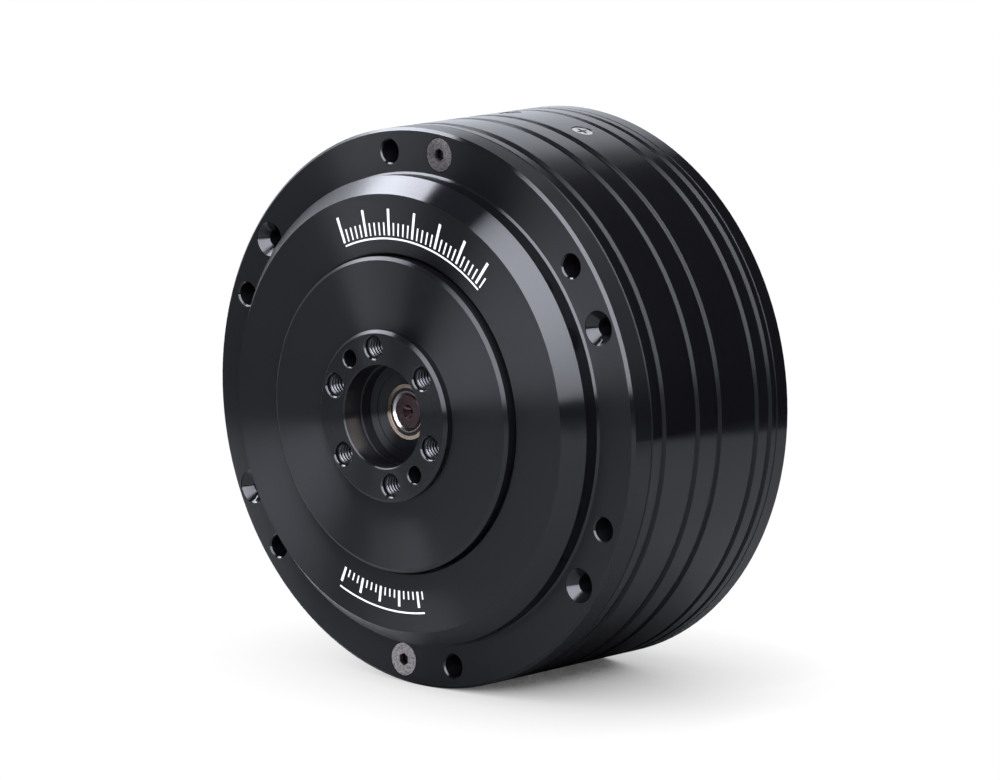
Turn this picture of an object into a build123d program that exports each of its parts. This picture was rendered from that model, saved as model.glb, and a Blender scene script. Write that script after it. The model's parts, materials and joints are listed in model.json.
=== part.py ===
from build123d import *
from math import cos, floor, pi, radians, sin, sqrt, tan, acos
import os

# A flat geared motor: an outrunner motor with a planetary reduction in front of it, in one round housing.
# Millimetres. The axis is Y, the output faces -Y and the origin is the middle of the flange's front face.
# Angles turn from +X towards +Z, as seen from the front.

# ---- outside of the housing ----
BODY_R = 49.0
FLANGE_CHAMFER = 0.5
BOSS_R = 41.0
BOSS_WALL_Y = -3.0
BOSS_FACE_R = 38.15
BOSS_FACE_Y = -6.3
BOSS_FOOT = 0.35
FACE_OPENING_R = 27.8
OPENING_CHAMFER = 0.25
FRONT_SEAM_Y = 4.7
FRONT_SEAM_CHAMFER = 0.2
MIDDLE_SEAM_Y = 22.5
MIDDLE_SEAM_GAP = 0.08
COVER_SEAM_Y = 37.35
COVER_SEAM_CHAMFER = 0.15
BODY_BACK_Y = 40.3
CAP_R = 38.5
CAP_BACK_Y = 51.7
CAP_WALL = 1.6
CAP_CHAMFER = 0.8
COVER_EDGE_CHAMFER = 0.14
GROOVE_DEPTH = 0.48
SHELL_GROOVES_Y = [(6.4, 8.32), (15.15, 17.0)]
MIDDLE_GROOVE_Y = (20.93, 22.76)
REAR_GROOVES_Y = [(31.12, 32.48), (34.85, 36.04)]

# ---- flange holes ----
FLANGE_HOLE_R = 45.0
FLANGE_TAP_R = 2.0
TAP_MOUTH = 0.25
FLANGE_TAP_ANGLE = 99.5
FLANGE_TAP_POCKET_R = 2.2
FLANGE_TAP_POCKET_Y = 7.0
FLANGE_SINK_ANGLE = 84.5
FLANGE_SCREW_R = 1.5
FLANGE_SCREW_HEAD_R = 2.9
FLANGE_SCREW_LENGTH = 12.0
FLANGE_SINK_R = 3.05
SIX = 6

# ---- output flange ----
HUB_R = 15.0
HUB_FACE_Y = -10.0
HUB_CHAMFER = 0.55
DISC_R = 27.5
DISC_FACE_R = 26.9
DISC_EDGE_Y = -7.7
DISC_FACE_Y = -8.2
DISC_BACK_Y = -4.2
DISC_GAP = 0.3
PILOT_BORE_R = 9.0
PILOT_CHAMFER = 0.2
PILOT_BORE_Y = -5.9
LEDGE_BORE_R = 8.6
LEDGE_BORE_Y = -3.7
POCKET_R = 7.0
OUTPUT_HOLE_R = 12.0
OUTPUT_TAP_R = 2.0
OUTPUT_TAP_Y = -2.0
OUTPUT_DOWEL_R = 1.5
OUTPUT_DOWEL_ANGLE = 129.5
OUTPUT_DOWEL_Y = -5.0
DOWEL_MOUTH = 0.2
SHAFT_HOLE_R = 4.6
BEARING_STEP = 1.4
BEARING_LIP = 1.0

# ---- bearings: inner radius, outer radius, front, back, ball radius, ball count ----
OUTPUT_BEARING = (20.0, 26.0, -3.0, 4.0, 1.75, 30)
BORE_BEARING = (3.0, 5.0, -3.5, -0.5, 0.5, 11)
FRONT_ROTOR_BEARING = (6.0, 10.5, 22.6, 27.6, 1.35, 12)
REAR_ROTOR_BEARING = (6.0, 10.5, 35.3, 40.3, 1.35, 12)
BALL_PLAY = 0.05
POCKET_PLAY = 0.06
SHIELD_PLAY = 0.08
SHIELD_SUNK = 0.12
SHIELD_THICK = 0.18
SHIELD_LIP_R = 4.2
BORE_BEARING_CHAMFER = 0.15
BORE_BEARING_MOUTH = 0.4

# ---- planetary gears ----
GEAR_MODULE = 0.6
SUN_TEETH = 12
PLANET_TEETH = 42
RING_TEETH = SUN_TEETH + 2 * PLANET_TEETH
ADDENDUM = 0.55
DEDENDUM = 0.76
TOOTH_THINNING = 0.06
PRESSURE_ANGLE = radians(20)
PLANET_COUNT = 3
PLANET_ANGLE = 9.5
SUN_ANGLE = 0.0
PLANET_FRONT_Y = 7.2
PLANET_BACK_Y = 13.8
RING_FRONT_Y = 6.9
RING_BACK_Y = 14.1
RING_R = 32.0
RING_PIN_R = 1.0
RING_PIN_FRONT_Y = 7.5
GEAR_WALL_R = 35.0
PLANET_CLEAR_R = 30.2

# ---- planet carrier ----
CARRIER_R = 24.0
CARRIER_FRONT_Y = 4.2
CARRIER_PLATE = 2.6
CARRIER_BACK_Y = 14.2
CARRIER_SCREW_CIRCLE_R = 17.0
CARRIER_SCREW_R = 1.5
CARRIER_SCREW_HEAD_R = 2.75
CARRIER_SCREW_LENGTH = 18.5
POST_INNER_R = 3.0
POST_OUTER_R = 4.1
POST_OUTER_CIRCLE_R = 19.4
PIN_R = 2.5
PIN_PLAY = 0.05
BUSH_R = 3.6
WASHER_R = 5.0
WASHER_THICK = 0.35
PIN_INSET = 0.2
SUN_OVERHANG = 0.4

# ---- bearing retainer ----
RETAINER_INNER_R = 24.6
RETAINER_R = 29.9
RETAINER_POCKET_R = 30.0
RETAINER_BACK_Y = 5.2
RETAINER_SCREW_CIRCLE_R = 27.9
RETAINER_SCREW_R = 0.8
RETAINER_SCREW_HEAD_R = 1.55
RETAINER_SCREW_LENGTH = 4.0

# ---- motor ----
WEB_BACK_Y = 17.1
WEB_BORE_R = 24.8
SHELL_BORE_R = 45.0
SPIGOT_R = 46.5
SPIGOT_BACK_Y = 30.0
ROTOR_R = 44.0
ROTOR_FRONT_Y = 17.6
ROTOR_DISC_BACK_Y = 19.4
ROTOR_HUB_R = 11.0
ROTOR_HUB_BACK_Y = 20.6
ROTOR_BACK_Y = 35.0
IRON_INNER_R = 42.0
MAGNET_INNER_R = 39.8
MAGNET_COUNT = 42
MAGNET_GAP_DEG = 0.6
MAGNET_FRONT_Y = 21.5
MAGNET_BACK_Y = 33.5
LIGHTENING_CIRCLE_R = 27.0
LIGHTENING_R = 8.0
SHAFT_R = 6.0
SHAFT_BORE_R = 2.8
SHAFT_SHOULDER_R = 7.5
SHAFT_BACK_Y = 41.0
SUN_SHANK_BACK_Y = 34.0
SHAFT_END_Y = -3.4
SHAFT_CHAMFER = 0.15
DIMPLE_R = 1.2
DIMPLE_DEPTH = 1.3
DIMPLE_DRILL_R = 0.45
DIMPLE_DRILL_DEPTH = 2.2
STATOR_R = 39.3
STATOR_BORE_R = 25.5
STATOR_YOKE_R = 29.5
STATOR_FRONT_Y = 22.0
STATOR_BACK_Y = 33.0
SLOT_COUNT = 36
TOOTH_HALF = 1.2
TIP_THICK = 1.0
SLOT_MOUTH_HALF = 0.5
COIL_HALF = 2.5
COIL_INNER_R = 30.4
COIL_OUTER_R = 37.4
COIL_TURN = 1.7
COIL_LINER = 0.15
COIL_ROUNDING = 1.0
SLEEVE_R = 22.5
MOUNT_HUB_R = 13.0
MOUNT_BORE_R = 8.5
MOUNT_FLANGE_R = 34.0
MOUNT_WEB_Y = 35.4
STATOR_SCREW_CIRCLE_R = 30.0
STATOR_SCREW_R = 1.25
STATOR_SCREW_HEAD_R = 2.3
STATOR_SCREW_LENGTH = 4.6
LEAD_CIRCLE_R = 35.6
LEAD_R = 0.7
LEAD_HOLE_R = 1.1
LEAD_ANGLES = [168, 180, 192]

# ---- driver ----
BOARD_R = 36.4
BOARD_FRONT_Y = 44.5
BOARD_BACK_Y = 46.1
CAPACITOR_CIRCLE_R = 27.0
CAPACITOR_ANGLES = [165, 180, 195, -15, 0, 15]
CAPACITOR_R = 2.6
CAPACITOR_HEIGHT = 3.2
TRANSISTOR = (5.0, 6.0, 1.0)
TRANSISTOR_COLUMNS = [-14, 0, 14]
TRANSISTOR_ROWS = [-7, 3]
PROCESSOR = (7.0, 7.0, 0.9)
PROCESSOR_Z = 13.0
SENSOR_SIDE = 5.0
SENSOR_GAP = 0.3
CAP_SCREW_CIRCLE_R = 33.0
CAP_SCREW_ANGLES = [45, 135, 225, 315]
CAP_SCREW_R = 1.25
CAP_SCREW_HEAD_R = 2.3
CAP_SCREW_LENGTH = 13.0
STANDOFF_R = 2.9
ENCODER_MAGNET_R = 4.0
ENCODER_MAGNET_BACK_Y = 43.2
POWER_PLUG = (13.0, 7.0, 0.0, -22.0)
POWER_PLUG_CHAMFER = 1.5
POWER_SOCKET_DEPTH = 4.5
POWER_SOCKET_R = 1.25
POWER_SOCKET_PITCH = 5.0
SIGNAL_PLUG = (8.0, 3.8)
SIGNAL_PLUG_PLACES = [(-7.0, 23.0), (7.0, 23.0)]
SIGNAL_PLUG_WALLS = (1.4, 1.2)
SIGNAL_PINS = 4
SIGNAL_PIN_PITCH = 1.25
SIGNAL_PIN = 0.5
SIGNAL_PIN_SUNK = 0.8
PLUG_CAVITY = 3.5
PLUG_OPENING = 3.0

# ---- screws in the side and the rear ----
SIDE_SCREW_Y = 27.1
SIDE_SCREW_ANGLES = [74.5, 94.5, -85.5, -105.5]
SIDE_SCREW_R = 1.0
SIDE_SCREW_HEAD_R = 1.85
SIDE_SCREW_HEAD = 1.1
SIDE_SCREW_SUNK = 0.15
SIDE_SCREW_LENGTH = 3.8
SIDE_SINK_R = 1.95
COVER_SCREW_CIRCLE_R = 46.7
COVER_SCREW_R = 1.0
COVER_SCREW_HEAD_R = 1.85
COVER_SCREW_LENGTH = 6.0
COVER_SCREW_COUNT = 8
COVER_SCREW_ANGLE = 22.5

HEAD_LIP = 0.15
SUN_R = GEAR_MODULE * SUN_TEETH / 2
PLANET_R = GEAR_MODULE * PLANET_TEETH / 2
RING_PITCH_R = GEAR_MODULE * RING_TEETH / 2
PLANET_CIRCLE_R = SUN_R + PLANET_R
BIG = 200.0


# ---- building blocks ----
def polar(radius, angle):
    return (radius * cos(radians(angle)), radius * sin(radians(angle)))


def evenly(count, first):
    return [first + 360 * step / count for step in range(count)]


def prism(sketch, front, back):
    """A sketch in X and Z, pushed along Y from front to back."""
    return extrude(Plane.XZ.offset(-back) * sketch, back - front)


def turned(*outline):
    """A closed outline of (radius, y) points, turned about the Y axis."""
    return revolve(make_face(Polyline(*outline, close=True)), Axis.Y)


def tube(inner, outer, front, back):
    return turned((inner, front), (outer, front), (outer, back), (inner, back))


def discs(circle_radius, angles, radius):
    return Sketch() + [Pos(*polar(circle_radius, angle)) * Circle(radius) for angle in angles]


def holes(circle_radius, angles, radius, front, back):
    return prism(discs(circle_radius, angles, radius), front, back)


def facing(direction, circle_radius, angle, y):
    """The place of a screw whose head looks along the direction."""
    x, z = polar(circle_radius, angle)
    return Plane(origin=(x, y, z), z_dir=direction)


FORWARD = (0, -1, 0)
BACKWARD = (0, 1, 0)


def outward(angle):
    x, z = polar(1, angle)
    return (x, 0, z)


def socket(across, depth):
    return Pos(0, 0, -depth) * extrude(RegularPolygon(across / sqrt(3), 6), depth)


def cross_recess(width, depth):
    blade = Pos(0, 0, -depth / 2) * Box(width, width / 4, depth)
    return blade + Rot(0, 0, 90) * blade


def screw_outline(*outline):
    return revolve(Plane.XZ * make_face(Polyline(*outline, close=True)), Axis.Z)


def countersunk(head, shank, length):
    """A countersunk screw along Z, its head's top at zero, without its recess."""
    neck = -HEAD_LIP - (head - shank)
    return screw_outline((0, 0), (head, 0), (head, -HEAD_LIP), (shank, neck), (shank, -length), (0, -length))


def cylinder_head(head, head_height, shank, length):
    """A screw with a flat cylindrical head along Z, without its recess."""
    neck = -head_height
    return screw_outline((0, 0), (head, 0), (head, neck), (shank, neck), (shank, -length), (0, -length))


def sink(head, shank, length):
    """The space that a countersunk screw needs, with a rim that stands open at the surface."""
    neck = -HEAD_LIP - (head - shank)
    return screw_outline((0, 1), (head, 1), (head, -HEAD_LIP), (shank, neck), (shank, -length), (0, -length))


def mouth(radius, depth):
    """The chamfer around the front end of a hole, opening outwards at 45 degrees."""
    return screw_outline((0, 1), (radius + depth + 1, 1), (radius, -depth), (0, -depth))


# ---- gears ----
def involute(angle):
    return tan(angle) - angle


def tooth_half_angle(radius, pitch_radius, teeth, thinning):
    base = pitch_radius * cos(PRESSURE_ANGLE)
    slope = acos(min(1.0, base / radius))
    at_pitch = pi / (2 * teeth) - thinning / pitch_radius
    return at_pitch + involute(PRESSURE_ANGLE) - involute(slope)


def gear_outline(teeth, root, tip, thinning, first):
    """An outline of straight-sided teeth, each flank in two facets on the involute."""
    pitch_radius = GEAR_MODULE * teeth / 2
    flank = [root, pitch_radius, tip]
    halves = [tooth_half_angle(radius, pitch_radius, teeth, thinning) for radius in flank]
    points = []
    for tooth in range(teeth):
        middle = radians(first) + 2 * pi * tooth / teeth
        for radius, half in zip(flank, halves):
            points.append((radius * cos(middle - half), radius * sin(middle - half)))
        for radius, half in zip(reversed(flank), reversed(halves)):
            points.append((radius * cos(middle + half), radius * sin(middle + half)))
    return make_face(Polyline(*points, close=True))


def planet_phase(angle):
    """The angle of one planet's tooth, set so that it meshes with the sun."""
    sun_pitch = 360 / SUN_TEETH
    planet_pitch = 360 / PLANET_TEETH
    sun_part = (angle - SUN_ANGLE) / sun_pitch
    planet_part = 0.5 - (sun_part - floor(sun_part))
    return angle + 180 - planet_part * planet_pitch


def ring_phase(angle):
    """The angle of one space of the ring gear, set so that it meshes with the planet."""
    planet_pitch = 360 / PLANET_TEETH
    ring_pitch = 360 / RING_TEETH
    planet_part = (angle - planet_phase(angle)) / planet_pitch
    return angle - (planet_part - floor(planet_part)) * ring_pitch


def planet_angles():
    return evenly(PLANET_COUNT, PLANET_ANGLE)


def post_angles():
    return evenly(PLANET_COUNT, PLANET_ANGLE + 180 / PLANET_COUNT)


def planet_gear(angle):
    outline = gear_outline(PLANET_TEETH, PLANET_R - DEDENDUM, PLANET_R + ADDENDUM, TOOTH_THINNING,
                           planet_phase(angle))
    wheel = Pos(*polar(PLANET_CIRCLE_R, angle)) * (outline - Circle(BUSH_R))
    return prism(wheel, PLANET_FRONT_Y, PLANET_BACK_Y)


def planet_bush(angle):
    sleeve = Circle(BUSH_R) - Circle(PIN_R + PIN_PLAY)
    return prism(Pos(*polar(PLANET_CIRCLE_R, angle)) * sleeve, PLANET_FRONT_Y, PLANET_BACK_Y)


def ring_gear():
    spaces = gear_outline(RING_TEETH, RING_PITCH_R - ADDENDUM, RING_PITCH_R + DEDENDUM, -TOOTH_THINNING,
                          ring_phase(PLANET_ANGLE))
    ring = prism(Circle(RING_R) - spaces, RING_FRONT_Y, RING_BACK_Y)
    return ring - ring_gear_pins()


def ring_gear_pins():
    return holes(RING_R, evenly(4, 45), RING_PIN_R, RING_PIN_FRONT_Y, RING_BACK_Y)


def sun_gear():
    teeth = gear_outline(SUN_TEETH, SUN_R - DEDENDUM, SUN_R + ADDENDUM, TOOTH_THINNING, SUN_ANGLE)
    journal_r = BORE_BEARING[0]
    gear_front = PLANET_FRONT_Y - SUN_OVERHANG
    front = turned((0, SHAFT_END_Y), (journal_r - SHAFT_CHAMFER, SHAFT_END_Y),
                   (journal_r, SHAFT_END_Y + SHAFT_CHAMFER), (journal_r, gear_front), (0, gear_front))
    shank = tube(0, SHAFT_BORE_R, PLANET_BACK_Y, SUN_SHANK_BACK_Y)
    dimple = turned((0, SHAFT_END_Y), (DIMPLE_R, SHAFT_END_Y), (DIMPLE_DRILL_R, SHAFT_END_Y + DIMPLE_DEPTH),
                    (DIMPLE_DRILL_R, SHAFT_END_Y + DIMPLE_DRILL_DEPTH), (0, SHAFT_END_Y + DIMPLE_DRILL_DEPTH))
    return front + prism(teeth, gear_front, PLANET_BACK_Y + SUN_OVERHANG) + shank - dimple


# ---- ball bearings ----
def bearing_sizes(bearing):
    inner, outer, front, back, ball, count = bearing
    pitch = (inner + outer) / 2
    shoulder = 0.8 * ball
    return pitch, (front + back) / 2, pitch - shoulder, pitch + shoulder


def race(bearing):
    pitch, middle, _, _ = bearing_sizes(bearing)
    return revolve(Pos(pitch, middle) * Circle(bearing[4] + BALL_PLAY), Axis.Y)


def bearing_outer(bearing):
    _, _, _, land = bearing_sizes(bearing)
    return tube(land, bearing[1], bearing[2], bearing[3]) - race(bearing)


def bearing_inner(bearing):
    _, _, land, _ = bearing_sizes(bearing)
    return tube(bearing[0], land, bearing[2], bearing[3]) - race(bearing)


def bearing_balls(bearing):
    pitch, middle, _, _ = bearing_sizes(bearing)
    places = [polar(pitch, angle) for angle in evenly(bearing[5], 0)]
    return Part() + [Pos(x, middle, z) * Sphere(bearing[4]) for x, z in places]


def bearing_cage(bearing):
    pitch, middle, _, _ = bearing_sizes(bearing)
    half_wall = 0.4 * bearing[4]
    half_width = 1.3 * bearing[4]
    band = tube(pitch - half_wall, pitch + half_wall, middle - half_width, middle + half_width)
    pocket = Cylinder(bearing[4] + POCKET_PLAY, 4 * half_wall)
    pockets = [facing(outward(angle), pitch, angle, middle) * pocket for angle in evenly(bearing[5], 0)]
    return band - pockets


def bore_bearing_outer():
    """The small bearing's outer ring, with chamfered edges and a thin lip over each shield."""
    _, _, _, land = bearing_sizes(BORE_BEARING)
    _, outer, front, back = BORE_BEARING[:4]
    edge = BORE_BEARING_CHAMFER
    ring = turned((SHIELD_LIP_R, front), (outer - edge, front), (outer, front + edge), (outer, back - edge),
                  (outer - edge, back), (SHIELD_LIP_R, back), (SHIELD_LIP_R, back - SHIELD_SUNK),
                  (land, back - SHIELD_SUNK), (land, front + SHIELD_SUNK),
                  (SHIELD_LIP_R, front + SHIELD_SUNK))
    return ring - race(BORE_BEARING)


def bore_bearing_inner():
    """The small bearing's inner ring, with a wide chamfer at each end of its bore."""
    inner, _, front, back = BORE_BEARING[:4]
    mouth_r = inner + BORE_BEARING_MOUTH
    ends = [turned((inner, front), (mouth_r, front), (inner, front + BORE_BEARING_MOUTH)),
            turned((inner, back), (mouth_r, back), (inner, back - BORE_BEARING_MOUTH))]
    return bearing_inner(BORE_BEARING) - ends


def bore_bearing_shields():
    _, _, land_in, land_out = bearing_sizes(BORE_BEARING)
    front, back = BORE_BEARING[2] + SHIELD_SUNK, BORE_BEARING[3] - SHIELD_SUNK
    return Part() + [tube(land_in + SHIELD_PLAY, land_out, front, front + SHIELD_THICK),
                     tube(land_in + SHIELD_PLAY, land_out, back - SHIELD_THICK, back)]


# ---- housing ----
def grooves(edges):
    """Flat-bottomed grooves round the body with sides at 45 degrees, each between its two edges."""
    bottom = BODY_R - GROOVE_DEPTH
    cuts = [turned((BODY_R + 1, front - 1), (BODY_R + 1, back + 1), (bottom, back - GROOVE_DEPTH),
                   (bottom, front + GROOVE_DEPTH)) for front, back in edges]
    return Part() + cuts


def flange_screws():
    screw = countersunk(FLANGE_SCREW_HEAD_R, FLANGE_SCREW_R, FLANGE_SCREW_LENGTH) - socket(2.0, 1.3)
    angles = [FLANGE_SINK_ANGLE, FLANGE_SINK_ANGLE - 180]
    return Part() + [facing(FORWARD, FLANGE_HOLE_R, angle, 0) * screw for angle in angles]


def front_housing():
    lip_r = OUTPUT_BEARING[1] - BEARING_LIP
    lip_y = DISC_BACK_Y + DISC_GAP
    shell = turned((BODY_R - FLANGE_CHAMFER, 0), (BODY_R, FLANGE_CHAMFER),
                   (BODY_R, FRONT_SEAM_Y - FRONT_SEAM_CHAMFER), (BODY_R - FRONT_SEAM_CHAMFER, FRONT_SEAM_Y),
                   (GEAR_WALL_R, FRONT_SEAM_Y), (GEAR_WALL_R, RING_BACK_Y), (RING_R, RING_BACK_Y),
                   (RING_R, RING_FRONT_Y), (PLANET_CLEAR_R, RING_FRONT_Y),
                   (PLANET_CLEAR_R, RETAINER_BACK_Y), (RETAINER_POCKET_R, RETAINER_BACK_Y),
                   (RETAINER_POCKET_R, OUTPUT_BEARING[3]), (OUTPUT_BEARING[1], OUTPUT_BEARING[3]),
                   (OUTPUT_BEARING[1], OUTPUT_BEARING[2]), (lip_r, OUTPUT_BEARING[2]),
                   (lip_r, lip_y), (FACE_OPENING_R, lip_y),
                   (FACE_OPENING_R, BOSS_FACE_Y + OPENING_CHAMFER),
                   (FACE_OPENING_R + OPENING_CHAMFER, BOSS_FACE_Y),
                   (BOSS_FACE_R, BOSS_FACE_Y), (BOSS_R, BOSS_WALL_Y), (BOSS_R, -BOSS_FOOT),
                   (BOSS_R + BOSS_FOOT, 0))
    taps = holes(FLANGE_HOLE_R, evenly(SIX, FLANGE_TAP_ANGLE), FLANGE_TAP_R, -1, FRONT_SEAM_Y + 1)
    mouths = [facing(FORWARD, FLANGE_HOLE_R, angle, 0) * mouth(FLANGE_TAP_R, TAP_MOUTH)
              for angle in evenly(SIX, FLANGE_TAP_ANGLE)]
    space = sink(FLANGE_SINK_R, FLANGE_SCREW_R, FRONT_SEAM_Y + 1)
    sinks = [facing(FORWARD, FLANGE_HOLE_R, angle, 0) * space for angle in evenly(SIX, FLANGE_SINK_ANGLE)]
    retainer_taps = holes(RETAINER_SCREW_CIRCLE_R, evenly(SIX, 0), RETAINER_SCREW_R,
                          RETAINER_BACK_Y - RETAINER_SCREW_LENGTH, RETAINER_BACK_Y)
    return shell - taps - mouths - sinks - retainer_taps - ring_gear_pins()


def motor_housing():
    groove_front, groove_back = MIDDLE_GROOVE_Y
    groove_r = BODY_R - GROOVE_DEPTH
    seam_r = BODY_R - groove_back + MIDDLE_SEAM_Y
    shell = turned((BODY_R - FRONT_SEAM_CHAMFER, FRONT_SEAM_Y), (BODY_R, FRONT_SEAM_Y + FRONT_SEAM_CHAMFER),
                   (BODY_R, groove_front), (groove_r, groove_front + GROOVE_DEPTH),
                   (groove_r, groove_back - GROOVE_DEPTH), (seam_r, MIDDLE_SEAM_Y),
                   (SPIGOT_R, MIDDLE_SEAM_Y), (SPIGOT_R, SPIGOT_BACK_Y),
                   (SHELL_BORE_R, SPIGOT_BACK_Y),
                   (SHELL_BORE_R, WEB_BACK_Y), (WEB_BORE_R, WEB_BACK_Y), (WEB_BORE_R, RING_BACK_Y),
                   (GEAR_WALL_R, RING_BACK_Y), (GEAR_WALL_R, FRONT_SEAM_Y))
    taps = holes(FLANGE_HOLE_R, evenly(SIX, FLANGE_SINK_ANGLE), FLANGE_SCREW_R, FRONT_SEAM_Y - 1,
                 FLANGE_SCREW_LENGTH)
    pockets = holes(FLANGE_HOLE_R, evenly(SIX, FLANGE_TAP_ANGLE), FLANGE_TAP_POCKET_R, FRONT_SEAM_Y - 1,
                    FLANGE_TAP_POCKET_Y)
    return shell - grooves(SHELL_GROOVES_Y) - taps - pockets - side_screw_spaces()


def side_screw_spaces():
    spaces = []
    for angle in SIDE_SCREW_ANGLES:
        place = facing(outward(angle), BODY_R, angle, SIDE_SCREW_Y)
        depth = SIDE_SCREW_SUNK + SIDE_SCREW_HEAD
        head = Pos(0, 0, (1 - depth) / 2) * Cylinder(SIDE_SINK_R, depth + 1)
        shank_depth = SIDE_SCREW_SUNK + SIDE_SCREW_LENGTH
        spaces.append(place * (head + Pos(0, 0, -shank_depth / 2) * Cylinder(SIDE_SCREW_R, shank_depth)))
    return spaces


def side_screws():
    blank = cylinder_head(SIDE_SCREW_HEAD_R, SIDE_SCREW_HEAD, SIDE_SCREW_R, SIDE_SCREW_LENGTH)
    screw = blank - cross_recess(2.2, 0.7)
    return Part() + [facing(outward(angle), BODY_R - SIDE_SCREW_SUNK, angle, SIDE_SCREW_Y) * screw
                     for angle in SIDE_SCREW_ANGLES]


def rear_housing():
    front = MIDDLE_SEAM_Y + MIDDLE_SEAM_GAP
    groove_back = MIDDLE_GROOVE_Y[1]
    shell = turned((BODY_R - groove_back + front, front), (BODY_R, groove_back),
                   (BODY_R, COVER_SEAM_Y - COVER_SEAM_CHAMFER), (BODY_R - COVER_SEAM_CHAMFER, COVER_SEAM_Y),
                   (SHELL_BORE_R, COVER_SEAM_Y), (SHELL_BORE_R, SPIGOT_BACK_Y), (SPIGOT_R, SPIGOT_BACK_Y),
                   (SPIGOT_R, front))
    taps = holes(COVER_SCREW_CIRCLE_R, evenly(COVER_SCREW_COUNT, COVER_SCREW_ANGLE), COVER_SCREW_R,
                 BODY_BACK_Y - COVER_SCREW_LENGTH, COVER_SEAM_Y + 1)
    return shell - grooves(REAR_GROOVES_Y) - taps - side_screw_spaces()


def rear_cover():
    plate = turned((MOUNT_HUB_R, COVER_SEAM_Y), (BODY_R - COVER_SEAM_CHAMFER, COVER_SEAM_Y),
                   (BODY_R, COVER_SEAM_Y + COVER_SEAM_CHAMFER), (BODY_R, BODY_BACK_Y - COVER_EDGE_CHAMFER),
                   (BODY_R - COVER_EDGE_CHAMFER, BODY_BACK_Y), (MOUNT_HUB_R, BODY_BACK_Y))
    space = sink(COVER_SCREW_HEAD_R, COVER_SCREW_R, COVER_SCREW_LENGTH)
    rims = [facing(BACKWARD, COVER_SCREW_CIRCLE_R, angle, BODY_BACK_Y) * space
            for angle in evenly(COVER_SCREW_COUNT, COVER_SCREW_ANGLE)]
    middle_space = sink(STATOR_SCREW_HEAD_R, STATOR_SCREW_R, STATOR_SCREW_LENGTH)
    middles = [facing(BACKWARD, STATOR_SCREW_CIRCLE_R, angle, BODY_BACK_Y) * middle_space
               for angle in evenly(SIX, 0)]
    cap_taps = holes(CAP_SCREW_CIRCLE_R, CAP_SCREW_ANGLES, CAP_SCREW_R, COVER_SEAM_Y + 0.5, BODY_BACK_Y + 1)
    lead_holes = holes(LEAD_CIRCLE_R, LEAD_ANGLES, LEAD_HOLE_R, COVER_SEAM_Y - 1, BODY_BACK_Y + 1)
    return plate - rims - middles - cap_taps - lead_holes


def rear_cover_screws():
    screw = countersunk(COVER_SCREW_HEAD_R, COVER_SCREW_R, COVER_SCREW_LENGTH) - socket(1.3, 0.8)
    return Part() + [facing(BACKWARD, COVER_SCREW_CIRCLE_R, angle, BODY_BACK_Y) * screw
                     for angle in evenly(COVER_SCREW_COUNT, COVER_SCREW_ANGLE)]


def bearing_retainer():
    ring = tube(RETAINER_INNER_R, RETAINER_R, OUTPUT_BEARING[3], RETAINER_BACK_Y)
    space = sink(RETAINER_SCREW_HEAD_R, RETAINER_SCREW_R, 3)
    return ring - [facing(BACKWARD, RETAINER_SCREW_CIRCLE_R, angle, RETAINER_BACK_Y) * space
                   for angle in evenly(SIX, 0)]


def retainer_screws():
    blank = countersunk(RETAINER_SCREW_HEAD_R, RETAINER_SCREW_R, RETAINER_SCREW_LENGTH)
    screw = blank - cross_recess(1.7, 0.5)
    return Part() + [facing(BACKWARD, RETAINER_SCREW_CIRCLE_R, angle, RETAINER_BACK_Y) * screw
                     for angle in evenly(SIX, 0)]


# ---- output flange and planet carrier ----
def output_flange():
    land_r = OUTPUT_BEARING[0] + BEARING_STEP
    floor_y = BORE_BEARING[2]
    body = turned((PILOT_BORE_R + PILOT_CHAMFER, HUB_FACE_Y), (HUB_R - HUB_CHAMFER, HUB_FACE_Y),
                  (HUB_R, HUB_FACE_Y + HUB_CHAMFER),
                  (HUB_R, DISC_FACE_Y), (DISC_FACE_R, DISC_FACE_Y), (DISC_R, DISC_EDGE_Y),
                  (DISC_R, DISC_BACK_Y), (land_r, DISC_BACK_Y), (land_r, OUTPUT_BEARING[2]),
                  (OUTPUT_BEARING[0], OUTPUT_BEARING[2]), (OUTPUT_BEARING[0], CARRIER_FRONT_Y),
                  (SHAFT_HOLE_R, CARRIER_FRONT_Y), (SHAFT_HOLE_R, BORE_BEARING[3]),
                  (BORE_BEARING[1], BORE_BEARING[3]), (BORE_BEARING[1], floor_y), (POCKET_R, floor_y),
                  (POCKET_R, LEDGE_BORE_Y), (LEDGE_BORE_R, LEDGE_BORE_Y), (LEDGE_BORE_R, PILOT_BORE_Y),
                  (PILOT_BORE_R, PILOT_BORE_Y), (PILOT_BORE_R, HUB_FACE_Y + PILOT_CHAMFER))
    taps = holes(OUTPUT_HOLE_R, evenly(SIX, FLANGE_TAP_ANGLE), OUTPUT_TAP_R, HUB_FACE_Y - 1, OUTPUT_TAP_Y)
    dowels = holes(OUTPUT_HOLE_R, evenly(2, OUTPUT_DOWEL_ANGLE), OUTPUT_DOWEL_R, HUB_FACE_Y - 1,
                   OUTPUT_DOWEL_Y)
    mouths = [facing(FORWARD, OUTPUT_HOLE_R, angle, HUB_FACE_Y) * mouth(OUTPUT_TAP_R, TAP_MOUTH)
              for angle in evenly(SIX, FLANGE_TAP_ANGLE)]
    mouths += [facing(FORWARD, OUTPUT_HOLE_R, angle, HUB_FACE_Y) * mouth(OUTPUT_DOWEL_R, DOWEL_MOUTH)
               for angle in evenly(2, OUTPUT_DOWEL_ANGLE)]
    carrier_taps = holes(CARRIER_SCREW_CIRCLE_R, post_angles(), CARRIER_SCREW_R,
                         carrier_back() - CARRIER_SCREW_LENGTH, CARRIER_FRONT_Y + 1)
    return body - taps - dowels - mouths - carrier_taps


def carrier_back():
    return CARRIER_BACK_Y + CARRIER_PLATE


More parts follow.
